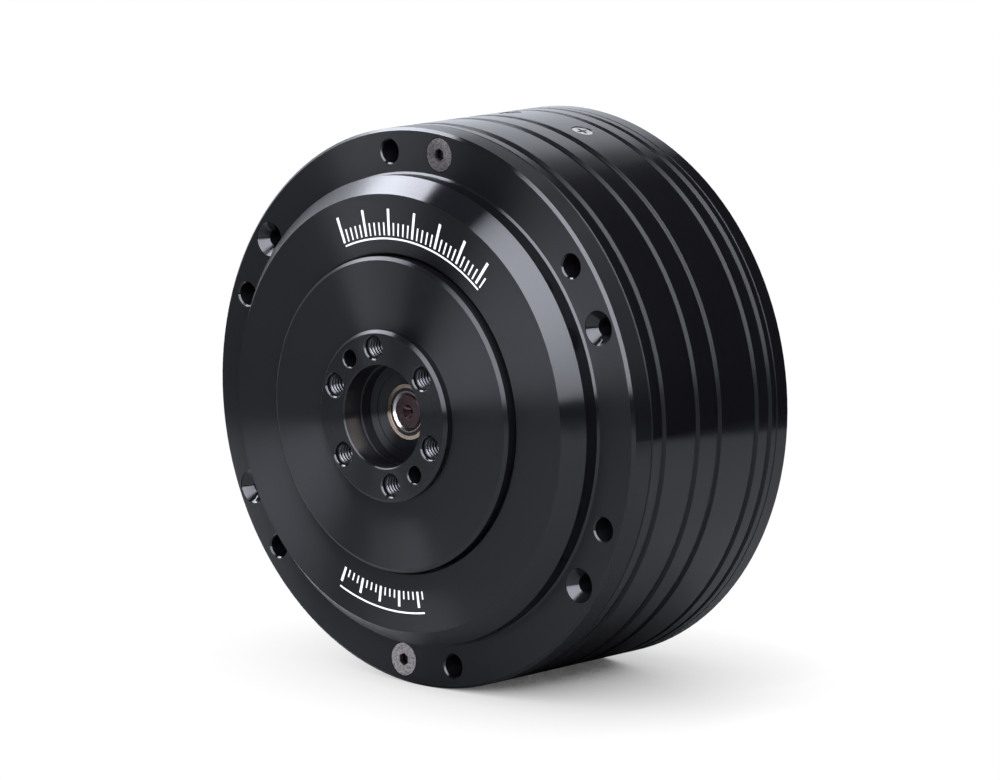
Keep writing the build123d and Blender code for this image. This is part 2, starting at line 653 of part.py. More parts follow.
def planet_carrier():
    plate = tube(SHAFT_HOLE_R, CARRIER_R, CARRIER_FRONT_Y, CARRIER_FRONT_Y + CARRIER_PLATE)
    inner_posts = discs(CARRIER_SCREW_CIRCLE_R, post_angles(), POST_INNER_R)
    posts = inner_posts + discs(POST_OUTER_CIRCLE_R, post_angles(), POST_OUTER_R)
    body = plate + prism(posts, CARRIER_FRONT_Y, CARRIER_BACK_Y)
    return body - carrier_screw_shanks() - planet_pins()


def carrier_plate():
    plate = tube(SHAFT_HOLE_R, CARRIER_R, CARRIER_BACK_Y, carrier_back())
    space = sink(CARRIER_SCREW_HEAD_R, CARRIER_SCREW_R, CARRIER_SCREW_LENGTH)
    heads = [facing(BACKWARD, CARRIER_SCREW_CIRCLE_R, angle, carrier_back()) * space
             for angle in post_angles()]
    return plate - heads - planet_pins()


def carrier_screw_shanks():
    return holes(CARRIER_SCREW_CIRCLE_R, post_angles(), CARRIER_SCREW_R, CARRIER_FRONT_Y - 1, carrier_back())


def carrier_screws():
    screw = countersunk(CARRIER_SCREW_HEAD_R, CARRIER_SCREW_R, CARRIER_SCREW_LENGTH) - socket(2.0, 1.2)
    return Part() + [facing(BACKWARD, CARRIER_SCREW_CIRCLE_R, angle, carrier_back()) * screw
                     for angle in post_angles()]


def planet_pins():
    return holes(PLANET_CIRCLE_R, planet_angles(), PIN_R, CARRIER_FRONT_Y + PIN_INSET,
                 carrier_back() - PIN_INSET)


def planet_washers():
    rings = Sketch() + [Pos(*polar(PLANET_CIRCLE_R, angle)) * (Circle(WASHER_R) - Circle(PIN_R))
                        for angle in planet_angles()]
    front = CARRIER_FRONT_Y + CARRIER_PLATE
    return Part() + [prism(rings, front, front + WASHER_THICK),
                     prism(rings, CARRIER_BACK_Y - WASHER_THICK, CARRIER_BACK_Y)]


# ---- motor ----
def rotor_hub():
    body = turned((SHAFT_R, ROTOR_FRONT_Y), (ROTOR_R, ROTOR_FRONT_Y), (ROTOR_R, ROTOR_DISC_BACK_Y),
                  (ROTOR_HUB_R, ROTOR_DISC_BACK_Y), (ROTOR_HUB_R, ROTOR_HUB_BACK_Y),
                  (SHAFT_R, ROTOR_HUB_BACK_Y))
    windows = holes(LIGHTENING_CIRCLE_R, evenly(SIX, 30), LIGHTENING_R, ROTOR_FRONT_Y - 1,
                    ROTOR_DISC_BACK_Y + 1)
    return body - windows


def rotor_shaft():
    return turned((SHAFT_BORE_R, ROTOR_FRONT_Y), (SHAFT_R, ROTOR_FRONT_Y), (SHAFT_R, ROTOR_HUB_BACK_Y),
                  (SHAFT_SHOULDER_R, ROTOR_HUB_BACK_Y), (SHAFT_SHOULDER_R, FRONT_ROTOR_BEARING[2]),
                  (SHAFT_R, FRONT_ROTOR_BEARING[2]), (SHAFT_R, SHAFT_BACK_Y), (0, SHAFT_BACK_Y),
                  (0, SUN_SHANK_BACK_Y), (SHAFT_BORE_R, SUN_SHANK_BACK_Y))


def magnets():
    pitch = 360 / MAGNET_COUNT
    half = (pitch - MAGNET_GAP_DEG) / 2
    wedge = make_face(Polyline((0, 0), polar(BIG, -half), polar(BIG, half), close=True))
    sector = (Circle(IRON_INNER_R) - Circle(MAGNET_INNER_R)) & wedge
    magnet = prism(sector, MAGNET_FRONT_Y, MAGNET_BACK_Y)
    return Part() + [Rot(0, angle, 0) * magnet for angle in evenly(MAGNET_COUNT, 0)]


def slot():
    """One winding slot of the stator, along +X, between teeth with straight sides."""
    half_pitch = radians(180 / SLOT_COUNT)

    def on_tooth(along):
        across = along * sin(half_pitch) - TOOTH_HALF * cos(half_pitch)
        return (along * cos(half_pitch) + TOOTH_HALF * sin(half_pitch), across)

    low = on_tooth(STATOR_YOKE_R)
    high = on_tooth(STATOR_R - TIP_THICK)
    neck = STATOR_R - 0.5 * TIP_THICK
    upper = [low, high, (neck, SLOT_MOUTH_HALF), (STATOR_R + 1, SLOT_MOUTH_HALF)]
    lower = [(x, -z) for x, z in reversed(upper)]
    return make_face(Polyline(*(upper + lower), close=True))


def stator_core():
    slots = [Rot(0, 0, angle) * slot() for angle in evenly(SLOT_COUNT, 180 / SLOT_COUNT)]
    return prism(Circle(STATOR_R) - Circle(STATOR_BORE_R) - slots, STATOR_FRONT_Y, STATOR_BACK_Y)


def stator_windings():
    length = COIL_OUTER_R - COIL_INNER_R
    stack = STATOR_BACK_Y - STATOR_FRONT_Y + 2 * COIL_LINER
    block = Box(length, stack + 2 * COIL_TURN, 2 * COIL_HALF)
    block = fillet(block.edges().filter_by(Axis.X), COIL_ROUNDING)
    coil = block - Box(length + 1, stack, 2 * (TOOTH_HALF + COIL_LINER))
    place = Pos((COIL_INNER_R + COIL_OUTER_R) / 2, (STATOR_FRONT_Y + STATOR_BACK_Y) / 2, 0)
    return Part() + [Rot(0, angle, 0) * place * coil for angle in evenly(SLOT_COUNT, 0)]


def stator_mount():
    front = STATOR_FRONT_Y
    body = turned((FRONT_ROTOR_BEARING[1], FRONT_ROTOR_BEARING[2]), (MOUNT_HUB_R, FRONT_ROTOR_BEARING[2]),
                  (MOUNT_HUB_R, MOUNT_WEB_Y), (SLEEVE_R, MOUNT_WEB_Y), (SLEEVE_R, front),
                  (STATOR_BORE_R, front), (STATOR_BORE_R, MOUNT_WEB_Y), (MOUNT_FLANGE_R, MOUNT_WEB_Y),
                  (MOUNT_FLANGE_R, COVER_SEAM_Y), (MOUNT_HUB_R, COVER_SEAM_Y), (MOUNT_HUB_R, BODY_BACK_Y),
                  (REAR_ROTOR_BEARING[1], BODY_BACK_Y), (REAR_ROTOR_BEARING[1], REAR_ROTOR_BEARING[2]),
                  (MOUNT_BORE_R, REAR_ROTOR_BEARING[2]), (MOUNT_BORE_R, FRONT_ROTOR_BEARING[3]),
                  (FRONT_ROTOR_BEARING[1], FRONT_ROTOR_BEARING[3]))
    taps = holes(STATOR_SCREW_CIRCLE_R, evenly(SIX, 0), STATOR_SCREW_R, MOUNT_WEB_Y - 1, COVER_SEAM_Y + 1)
    return body - taps


def stator_screws():
    screw = countersunk(STATOR_SCREW_HEAD_R, STATOR_SCREW_R, STATOR_SCREW_LENGTH) - socket(1.5, 1.0)
    return Part() + [facing(BACKWARD, STATOR_SCREW_CIRCLE_R, angle, BODY_BACK_Y) * screw
                     for angle in evenly(SIX, 0)]


def phase_leads():
    front = STATOR_BACK_Y + COIL_LINER + COIL_TURN
    return holes(LEAD_CIRCLE_R, LEAD_ANGLES, LEAD_R, front, BOARD_FRONT_Y)


# ---- driver ----
def driver_board():
    board = Circle(BOARD_R) - discs(CAP_SCREW_CIRCLE_R, CAP_SCREW_ANGLES, CAP_SCREW_R)
    return prism(board, BOARD_FRONT_Y, BOARD_BACK_Y)


def block(width, height, x, z, front, back):
    return prism(Pos(x, z) * Rectangle(width, height), front, back)


def power_transistors():
    width, height, thick = TRANSISTOR
    return Part() + [block(width, height, x, z, BOARD_BACK_Y, BOARD_BACK_Y + thick)
                     for x in TRANSISTOR_COLUMNS for z in TRANSISTOR_ROWS]


def capacitors():
    return holes(CAPACITOR_CIRCLE_R, CAPACITOR_ANGLES, CAPACITOR_R, BOARD_BACK_Y,
                 BOARD_BACK_Y + CAPACITOR_HEIGHT)


def controller_chips():
    width, height, thick = PROCESSOR
    processor = block(width, height, 0, PROCESSOR_Z, BOARD_BACK_Y, BOARD_BACK_Y + thick)
    sensor = block(SENSOR_SIDE, SENSOR_SIDE, 0, 0, ENCODER_MAGNET_BACK_Y + SENSOR_GAP, BOARD_FRONT_Y)
    return Part() + [processor, sensor]


def board_standoffs():
    rings = [Pos(*polar(CAP_SCREW_CIRCLE_R, angle)) * (Circle(STANDOFF_R) - Circle(CAP_SCREW_R))
             for angle in CAP_SCREW_ANGLES]
    return prism(Sketch() + rings, BODY_BACK_Y, BOARD_FRONT_Y)


def power_connector():
    width, height, x, z = POWER_PLUG
    body = block(width, height, x, z, BOARD_BACK_Y, CAP_BACK_Y)
    body = chamfer(body.edges().filter_by(Axis.Y).group_by(Axis.X)[0], POWER_PLUG_CHAMFER)
    for side in (-1, 1):
        bore = Pos(x + side * POWER_SOCKET_PITCH / 2, z) * Circle(POWER_SOCKET_R)
        body = body - prism(bore, CAP_BACK_Y - POWER_SOCKET_DEPTH, CAP_BACK_Y + 1)
    return body


def signal_connectors():
    width, height = SIGNAL_PLUG
    inner = (width - SIGNAL_PLUG_WALLS[0], height - SIGNAL_PLUG_WALLS[1])
    shells = [block(width, height, x, z, BOARD_BACK_Y, CAP_BACK_Y)
              - block(*inner, x, z, CAP_BACK_Y - PLUG_CAVITY, CAP_BACK_Y + 1)
              for x, z in SIGNAL_PLUG_PLACES]
    return Part() + shells


def signal_pins():
    start = -SIGNAL_PIN_PITCH * (SIGNAL_PINS - 1) / 2
    places = [(x + start + SIGNAL_PIN_PITCH * pin, z) for x, z in SIGNAL_PLUG_PLACES
              for pin in range(SIGNAL_PINS)]
    front, back = CAP_BACK_Y - PLUG_CAVITY, CAP_BACK_Y - SIGNAL_PIN_SUNK
    return Part() + [block(SIGNAL_PIN, SIGNAL_PIN, x, z, front, back) for x, z in places]


def driver_cap():
    shell = turned((CAP_R - CAP_WALL, BODY_BACK_Y), (CAP_R, BODY_BACK_Y), (CAP_R, CAP_BACK_Y - CAP_CHAMFER),
                   (CAP_R - CAP_CHAMFER, CAP_BACK_Y), (0, CAP_BACK_Y), (0, CAP_BACK_Y - CAP_WALL),
                   (CAP_R - CAP_WALL, CAP_BACK_Y - CAP_WALL))
    posts = holes(CAP_SCREW_CIRCLE_R, CAP_SCREW_ANGLES, STANDOFF_R, BOARD_BACK_Y, CAP_BACK_Y - CAP_WALL)
    space = sink(CAP_SCREW_HEAD_R, CAP_SCREW_R, CAP_SCREW_LENGTH)
    heads = [facing(BACKWARD, CAP_SCREW_CIRCLE_R, angle, CAP_BACK_Y) * space for angle in CAP_SCREW_ANGLES]
    width, height, x, z = POWER_PLUG
    inside = CAP_BACK_Y - PLUG_OPENING
    openings = [block(width, height, x, z, inside, CAP_BACK_Y + 1)]
    openings += [block(*SIGNAL_PLUG, x, z, inside, CAP_BACK_Y + 1) for x, z in SIGNAL_PLUG_PLACES]
    return shell + posts - heads - openings


def cap_screws():
    screw = countersunk(CAP_SCREW_HEAD_R, CAP_SCREW_R, CAP_SCREW_LENGTH) - socket(1.5, 1.0)
    return Part() + [facing(BACKWARD, CAP_SCREW_CIRCLE_R, angle, CAP_BACK_Y) * screw
                     for angle in CAP_SCREW_ANGLES]


# ---- every node ----
ROTOR_BEARINGS = [FRONT_ROTOR_BEARING, REAR_ROTOR_BEARING]


def both(make):
    return Part() + [make(bearing) for bearing in ROTOR_BEARINGS]


nodes = {
    "front_housing": front_housing(),
    "motor_housing": motor_housing(),
    "rear_housing": rear_housing(),
    "rear_cover": rear_cover(),
    "driver_cap": driver_cap(),
    "flange_screws": flange_screws(),
    "side_screws": side_screws(),
    "rear_cover_screws": rear_cover_screws(),
    "cap_screws": cap_screws(),
    "bearing_retainer": bearing_retainer(),
    "retainer_screws": retainer_screws(),
    "ring_gear": ring_gear(),
    "ring_gear_pins": ring_gear_pins(),
    "stator_mount": stator_mount(),
    "stator_screws": stator_screws(),
    "stator_core": stator_core(),
    "stator_windings": stator_windings(),
    "phase_leads": phase_leads(),
    "driver_board": driver_board(),
    "board_standoffs": board_standoffs(),
    "power_transistors": power_transistors(),
    "capacitors": capacitors(),
    "controller_chips": controller_chips(),
    "power_connector": power_connector(),
    "signal_connectors": signal_connectors(),
    "signal_pins": signal_pins(),
    "output_flange": output_flange(),
    "planet_carrier": planet_carrier(),
    "carrier_plate": carrier_plate(),
    "carrier_screws": carrier_screws(),
    "planet_pins": planet_pins(),
    "planet_washers": planet_washers(),
    "sun_gear": sun_gear(),
    "rotor_shaft": rotor_shaft(),
    "rotor_hub": rotor_hub(),
    "back_iron": tube(IRON_INNER_R, ROTOR_R, ROTOR_DISC_BACK_Y, ROTOR_BACK_Y),
    "magnets": magnets(),
    "encoder_magnet": tube(0, ENCODER_MAGNET_R, SHAFT_BACK_Y, ENCODER_MAGNET_BACK_Y),
    "output_bearing_outer": bearing_outer(OUTPUT_BEARING),
    "output_bearing_inner": bearing_inner(OUTPUT_BEARING),
    "output_bearing_balls": bearing_balls(OUTPUT_BEARING),
    "output_bearing_cage": bearing_cage(OUTPUT_BEARING),
    "bore_bearing_outer": bore_bearing_outer(),
    "bore_bearing_inner": bore_bearing_inner(),
    "bore_bearing_balls": bearing_balls(BORE_BEARING),
    "bore_bearing_cage": bearing_cage(BORE_BEARING),
    "bore_bearing_shields": bore_bearing_shields(),
    "rotor_bearing_outers": both(bearing_outer),
    "rotor_bearing_inners": both(bearing_inner),
    "rotor_bearing_balls": both(bearing_balls),
    "rotor_bearing_cages": both(bearing_cage),
}
for number, angle in enumerate(planet_angles(), 1):
    nodes[f"planet_gear_{number}"] = planet_gear(angle)
    nodes[f"planet_bush_{number}"] = planet_bush(angle)

os.makedirs("parts", exist_ok=True)
for name, shape in nodes.items():
    export_step(shape, f"parts/{name}.step")
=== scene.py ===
import json
from math import ceil, cos, pi, radians, sin

import bpy
from mathutils import Matrix, Vector


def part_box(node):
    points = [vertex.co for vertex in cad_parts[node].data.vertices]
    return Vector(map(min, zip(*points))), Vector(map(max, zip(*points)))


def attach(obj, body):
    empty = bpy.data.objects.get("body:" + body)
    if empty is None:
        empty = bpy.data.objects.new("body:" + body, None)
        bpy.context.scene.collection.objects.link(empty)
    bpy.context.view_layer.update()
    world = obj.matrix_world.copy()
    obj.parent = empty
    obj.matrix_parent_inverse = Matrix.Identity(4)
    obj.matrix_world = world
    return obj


# A flat geared motor in a grooved black housing, standing on its rim on a pale floor under soft studio light.
# Metres, in the CAD's frame: the output faces -Y, +Z is up, and angles turn from +X towards +Z.

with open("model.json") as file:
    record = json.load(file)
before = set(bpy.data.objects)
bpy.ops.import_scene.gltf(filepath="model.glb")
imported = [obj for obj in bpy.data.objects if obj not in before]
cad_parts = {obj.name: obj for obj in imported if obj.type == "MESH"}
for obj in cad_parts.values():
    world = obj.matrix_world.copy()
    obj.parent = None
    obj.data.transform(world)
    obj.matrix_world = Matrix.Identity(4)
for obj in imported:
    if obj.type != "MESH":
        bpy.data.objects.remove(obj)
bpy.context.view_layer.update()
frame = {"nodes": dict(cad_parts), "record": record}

MM = 0.001

# ---- camera: degrees and metres, with the lens and the sensor in millimetres ----
CAMERA_AZIMUTH = 42.47
CAMERA_ELEVATION = 9.72
CAMERA_DISTANCE = 1.1482
CAMERA_AIM_RIGHT = 0.013625
CAMERA_AIM_UP = 0.003341
CAMERA_LENS = 238.76
CAMERA_CLIP = (0.05, 20.0)
SENSOR_WIDTH = 36.0

# ---- places read from the CAD ----
BODY_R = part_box("front_housing")[1].x
FLOOR_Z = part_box("front_housing")[0].z
BOSS_FACE_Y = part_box("front_housing")[0].y
HUB_FACE_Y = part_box("output_flange")[0].y


def direction(azimuth, elevation):
    """The unit vector towards a place on the sky: azimuth 0 is -Y and 90 is +X."""
    a, e = radians(azimuth), radians(elevation)
    return Vector((sin(a) * cos(e), -cos(a) * cos(e), sin(e)))


def looking(back):
    """The rotation of a camera or a light whose own +Z points back."""
    right = Vector((0, 0, 1)).cross(back).normalized()
    return Matrix((right, back.cross(right), back)).transposed()


def make_camera():
    """A long lens, a little above the motor and to the right of its face."""
    back = direction(CAMERA_AZIMUTH, CAMERA_ELEVATION)
    turn = looking(back)
    data = bpy.data.cameras.new("camera")
    data.lens = CAMERA_LENS
    data.sensor_width = SENSOR_WIDTH
    data.sensor_fit = "HORIZONTAL"
    data.clip_start, data.clip_end = CAMERA_CLIP
    camera = bpy.data.objects.new("camera", data)
    aim = turn.col[0] * CAMERA_AIM_RIGHT + turn.col[1] * CAMERA_AIM_UP
    camera.matrix_world = Matrix.Translation(aim + back * CAMERA_DISTANCE) @ turn.to_4x4()
    bpy.context.collection.objects.link(camera)
    bpy.context.scene.camera = camera


# ---- node graphs ----
NOISE_RANGE = (0.3, 0.7)  # where most of a noise's values lie


class Graph:
    """A material's nodes, with short calls for the ones used here."""

    def __init__(self, name):
        self.material = bpy.data.materials.new(name)
        self.material.use_nodes = True
        self.tree = self.material.node_tree
        self.shader = self.tree.nodes["Principled BSDF"]

    @classmethod
    def of_tree(cls, tree):
        """The same calls for a tree that isn't a material's."""
        graph = cls.__new__(cls)
        graph.tree = tree
        return graph

    def put(self, socket, value):
        if isinstance(value, bpy.types.NodeSocket):
            self.tree.links.new(value, socket)
        else:
            socket.default_value = value

    def node(self, kind, inputs, **settings):
        made = self.tree.nodes.new("ShaderNode" + kind)
        for name, value in settings.items():
            setattr(made, name, value)
        for name, value in inputs.items():
            self.put(made.inputs[name], value)
        return made.outputs

    def math(self, operation, first, second=0.0):
        return self.node("Math", {0: first, 1: second}, operation=operation)[0]

    def times(self, first, second):
        return self.math("MULTIPLY", first, second)

    def below(self, value, limit):
        return self.math("LESS_THAN", value, limit)

    def above(self, value, limit):
        return self.math("GREATER_THAN", value, limit)

    def spread(self, value, low, high, start=0.0, end=1.0):
        """value between low and high, mapped to start and end and held there."""
        inputs = {"Value": value, "From Min": low, "From Max": high, "To Min": start, "To Max": end}
        return self.node("MapRange", inputs)["Result"]

    def vary(self, noise, low, high):
        """The usual range of a noise, mapped to low and high."""
        return self.spread(noise, *NOISE_RANGE, low, high)

    def choose(self, part, none, full):
        """A number that is none where part is 0 and full where part is 1."""
        return self.spread(part, 0.0, 1.0, none, full)

    def position(self):
        return self.node("TexCoord", {})["Object"]

    def axes(self, vector):
        return self.node("SeparateXYZ", {"Vector": vector})

    def along(self):
        """The place along the motor's axis."""
        return self.axes(self.position())[1]

    def radius(self):
        """The distance from the motor's axis."""
        x, _, z = self.axes(self.position())
        return self.length(self.node("CombineXYZ", {"X": x, "Z": z})[0])

    def length(self, vector):
        return self.node("VectorMath", {0: vector}, operation="LENGTH")["Value"]

    def turned_place(self):
        """A flat coordinate, radius and length along the axis, for marks that run round the axis."""
        return self.node("CombineXYZ", {"X": self.radius(), "Y": self.along()})[0]

    def open_sky(self, reach, samples, **inputs):
        """1 in the open and less where something stands within reach."""
        return self.node("AmbientOcclusion", {"Distance": reach, **inputs}, samples=samples)["AO"]

    def noise(self, scale, detail=2.0, vector=None, roughness=0.5):
        place = vector or self.position()
        inputs = {"Vector": place, "Scale": scale, "Detail": detail, "Roughness": roughness}
        return self.node("TexNoise", inputs)["Fac"]

    def mix(self, factor, first, second):
        made = self.tree.nodes.new("ShaderNodeMix")
        made.data_type = "RGBA"
        self.put(made.inputs["Factor"], factor)
        self.put(made.inputs[6], first)
        self.put(made.inputs[7], second)
        return made.outputs[2]

    def shades(self, noise, base, tones):
        """The colour base, from darker to lighter by the two factors in tones."""
        darker, lighter = (scaled(base, tone) for tone in tones)
        return self.mix(noise, darker, lighter)

    def bump(self, height, distance, strength=1.0, normal=None):
        inputs = {"Height": height, "Distance": distance, "Strength": strength}
        if normal is not None:
            inputs["Normal"] = normal
        return self.node("Bump", inputs)["Normal"]

    def set(self, **inputs):
        for name, value in inputs.items():
            self.put(self.shader.inputs[name.replace("_", " ")], value)


def colour(red, green, blue):
    return (red, green, blue, 1.0)


def scaled(base, factor):
    """The colour base, made lighter or darker."""
    return colour(*(min(1.0, level * factor) for level in base))


# ---- anodised housing ----
BLACK = (0.003, 0.003, 0.0037)
SPECK = (0.3, 0.3, 0.3)
SPECK_STRENGTH = 0.04
SPECK_RANGE = (0.8, 0.86)
LATHE_FINE = 9000
LATHE_COARSE = 1700
LATHE_FINE_DEPTH = 0.0012 * MM
LATHE_COARSE_DEPTH = 0.004 * MM
ANODISED_CLOUD = 45
ANODISED_SPECKS = 5200
ANODISED_UNEVEN = 0.012
ANODISED_TONES = (0.8, 1.3)

# How nearly a surface faces along the axis: 0 on a wall round it, and 1 on a flat face.
WALL_FACING = 0.3
SLOPE_FACING = 0.5
FACE_FACING = (0.93, 0.99)

# Where the finish changes: radii from the axis and places along it. A hole's finish starts HOLE_SKIN behind
# its face, and the hub's face is HUB_SKIN deep.
RIM_R = 0.985 * BODY_R
FACE_OPENING_R = 28.2 * MM
BORE_R = 9.3 * MM
HUB_HOLES_R = (9.3 * MM, 14.35 * MM)
FLANGE_HOLES_R = (41.1 * MM, 48.4 * MM)
FLANGE_EDGE_Y = 0.6 * MM
FLANGE_BACK_Y = 4.7 * MM
HOLE_SKIN = 0.1 * MM
HUB_SKIN = 0.05 * MM

# The roughness of each region.
FACE_ROUGHNESS = 0.4
HUB_FACE_ROUGHNESS = 0.26
BEVEL_ROUGHNESS = 0.2
EDGE_ROUGHNESS = 0.3
GROOVE_ROUGHNESS = 0.46
WALL_ROUGHNESS = 0.135
FLANGE_ROUGHNESS = 0.3
BORE_ROUGHNESS = 0.2
HUB_HOLE_ROUGHNESS = 0.1
FLANGE_HOLE_ROUGHNESS = 0.16


def anodised_roughness(graph, facing, face):
    """The finish of each region, chosen by where it is and which way it faces."""
    reach = graph.radius()
    along = graph.along()

    def ring(radii):
        inner, outer = radii
        return graph.times(graph.above(reach, inner), graph.below(reach, outer))

    on_rim = graph.above(reach, RIM_R)
    in_flange = graph.below(along, FLANGE_BACK_Y)
    wall = graph.choose(graph.times(on_rim, in_flange), WALL_ROUGHNESS, FLANGE_ROUGHNESS)

    slope = graph.choose(graph.below(reach, FACE_OPENING_R), BEVEL_ROUGHNESS, EDGE_ROUGHNESS)
    groove = graph.times(on_rim, graph.above(along, FLANGE_EDGE_Y))
    slope = graph.choose(groove, slope, GROOVE_ROUGHNESS)

    side = graph.spread(facing, WALL_FACING, SLOPE_FACING, wall, slope)
    flange_hole = graph.times(graph.times(ring(FLANGE_HOLES_R), graph.above(along, HOLE_SKIN)), in_flange)
    side = graph.choose(flange_hole, side, FLANGE_HOLE_ROUGHNESS)
    hub_hole = graph.times(ring(HUB_HOLES_R), graph.above(along, HUB_FACE_Y + HOLE_SKIN))
    side = graph.choose(hub_hole, side, HUB_HOLE_ROUGHNESS)
    bore = graph.times(graph.below(reach, BORE_R), graph.below(facing, WALL_FACING))
    side = graph.choose(bore, side, BORE_ROUGHNESS)

    on_hub = graph.below(along, HUB_FACE_Y + HUB_SKIN)
    flat = graph.choose(on_hub, FACE_ROUGHNESS, HUB_FACE_ROUGHNESS)
    return graph.choose(face, side, flat)


def anodised(name):
    """Black anodised aluminium: faces with the lathe's fine rings, and smoother walls, bevels and edges."""
    graph = Graph(name)
    lathe = graph.turned_place()
    fine = graph.noise(LATHE_FINE, 2.0, lathe)
    coarse = graph.noise(LATHE_COARSE, 3.0, lathe)
    cloud = graph.noise(ANODISED_CLOUD, 3.0)
    specks = graph.spread(graph.noise(ANODISED_SPECKS, 0.0), *SPECK_RANGE)
    facing = graph.math("ABSOLUTE", graph.axes(graph.node("TexCoord", {})["Normal"])[1])
    face = graph.spread(facing, *FACE_FACING)

    rough = anodised_roughness(graph, facing, face)
    for noise in (cloud, coarse):
        rough = graph.math("ADD", rough, graph.vary(noise, -ANODISED_UNEVEN, ANODISED_UNEVEN))
    tone = graph.shades(cloud, BLACK, ANODISED_TONES)
    tone = graph.mix(graph.times(specks, SPECK_STRENGTH), tone, colour(*SPECK))
    normal = graph.bump(fine, LATHE_FINE_DEPTH, 0.5)
    normal = graph.bump(coarse, LATHE_COARSE_DEPTH, graph.choose(face, 0.1, 0.6), normal)
    round_axis = graph.node("Tangent", {}, direction_type="RADIAL", axis="Y")["Tangent"]
    graph.set(Base_Color=tone, Roughness=rough, Normal=normal, Tangent=round_axis)
    graph.set(IOR=1.5, Anisotropic=1.0, Anisotropic_Rotation=0.25)
    return graph.material


# ---- other materials ----
METAL_TONES = (0.72, 1.12)
METAL_CLOUD = 260
METAL_MARK_DEPTH = 0.006 * MM
METAL_MARK_UNEVEN = 0.03
STAIN_RANGE = (0.45, 0.58)
# Painted shade down sockets and recesses: its near-black colour, the openness over which it fades, and its
# samples.
PAINTED_RECESS_SHADE = (0.01, 0.01, 0.01)
PAINTED_RECESS_SHADE_RANGE = (0.35, 0.6)
PAINTED_RECESS_SHADE_SAMPLES = 8
PLASTIC_TONES = (0.8, 1.0)
PLASTIC_CLOUD = 150
PLASTIC_UNEVEN = 0.06
SHEET_THICK = 0.35 * MM
SHEET_GAP = 0.04 * MM
WIRE_THICK = 0.45 * MM
BOARD_TRACKS = 260.0
BOARD_SPOTS = 420.0
SPOT_RANGE = (0.16, 0.12)


def steel(name, base, polish, marks=2600, stain=None, stain_size=900, metallic=1.0, painted_recess_shade=None):
    """Machined metal: fine marks, uneven polish, a stain or oxide in patches, and painted shade down its
    sockets.
    """
    graph = Graph(name)
    fine = graph.noise(marks, 3.0)
    cloud = graph.noise(METAL_CLOUD, 4.0)
    tone = graph.shades(cloud, base, METAL_TONES)
    if stain is not None:
        patch = graph.spread(graph.noise(stain_size, 5.0, roughness=0.65), *STAIN_RANGE)
        tone = graph.mix(patch, tone, colour(*stain))
    # Painted shade: the colour goes near-black where the sky is shut in close by, down sockets and in
    # recesses.
    if painted_recess_shade is not None:
        outside_painted_shade = graph.spread(graph.open_sky(painted_recess_shade, PAINTED_RECESS_SHADE_SAMPLES), *PAINTED_RECESS_SHADE_RANGE)
        tone = graph.mix(outside_painted_shade, colour(*PAINTED_RECESS_SHADE), tone)
    rough = graph.math("ADD", graph.vary(cloud, *polish),
                       graph.vary(fine, -METAL_MARK_UNEVEN, METAL_MARK_UNEVEN))
    normal = graph.bump(fine, METAL_MARK_DEPTH, 0.5)
    graph.set(Base_Color=tone, Metallic=metallic, Roughness=rough, Normal=normal)
    return graph.material


def plastic(name, base, rough=0.45, grain=1800, depth=0.01 * MM):
    """Moulded plastic or rubber with a fine grain and a slightly uneven colour."""
    graph = Graph(name)
    grain_height = graph.noise(grain, 3.0)
    cloud = graph.noise(PLASTIC_CLOUD, 3.0)
    tone = graph.shades(cloud, base, PLASTIC_TONES)
    uneven = graph.vary(cloud, rough - PLASTIC_UNEVEN, rough + PLASTIC_UNEVEN)
    graph.set(Base_Color=tone, Roughness=uneven, Normal=graph.bump(grain_height, depth, 0.6))
    return graph.material


def laminations(name):
    """Stacked steel sheets, seen on their edges."""
    graph = Graph(name)
    gap_colour, sheet_colour = colour(0.05, 0.05, 0.055), colour(0.3, 0.31, 0.33)
    from_gap = graph.math("PINGPONG", graph.along(), SHEET_THICK / 2)
    sheet = graph.spread(from_gap, 0.0, SHEET_GAP)
    tone = graph.mix(sheet, gap_colour, sheet_colour)
    rough = graph.vary(graph.noise(700), 0.35, 0.5)
    graph.set(Base_Color=tone, Metallic=1.0, Roughness=rough, Normal=graph.bump(sheet, 0.03 * MM, 0.8))
    return graph.material


def wire(name):
    """Enamelled copper wire, wound in layers, with painted shade in the creases between turns."""
    graph = Graph(name)
    gap_colour = colour(0.12, 0.03, 0.01)
    dark_copper, bright_copper = colour(0.42, 0.13, 0.04), colour(0.68, 0.28, 0.1)
    from_gap = graph.math("PINGPONG", graph.radius(), WIRE_THICK / 2)
    round_wire_and_crease_shade = graph.spread(from_gap, 0.0, WIRE_THICK / 2)
    sheen = graph.noise(500, 3.0)
    # Painted shade: each turn's colour darkens from its crown towards the crease between turns.
    tone = graph.mix(round_wire_and_crease_shade, gap_colour, graph.mix(sheen, dark_copper, bright_copper))
    graph.set(Base_Color=tone, Metallic=1.0, Roughness=graph.vary(sheen, 0.22, 0.38), Coat_Weight=0.6,
              Normal=graph.bump(round_wire_and_crease_shade, 0.1 * MM, 0.9))
    return graph.material


def board(name):
    """A circuit board: solder mask with raised tracks and tinned spots."""
    graph = Graph(name)
    bare_mask, track_mask = colour(0.006, 0.03, 0.013), colour(0.02, 0.085, 0.035)
    tin = colour(0.62, 0.6, 0.55)
    x, _, z = graph.axes(graph.position())
    flat = graph.node("CombineXYZ", {"X": x, "Y": z})[0]
    bricks = {"Vector": flat, "Scale": BOARD_TRACKS, "Mortar Size": 0.03}
    track = graph.node("TexBrick", bricks, offset=0.37)["Fac"]
    from_spot = graph.node("TexVoronoi", {"Vector": flat, "Scale": BOARD_SPOTS})["Distance"]
    spot = graph.spread(from_spot, *SPOT_RANGE)
    tone = graph.mix(spot, graph.mix(track, bare_mask, track_mask), tin)
    rough = graph.vary(graph.noise(900), 0.28, 0.42)
    graph.set(Base_Color=tone, Metallic=spot, Roughness=rough, Normal=graph.bump(track, 0.03 * MM, 0.7))
    return graph.material


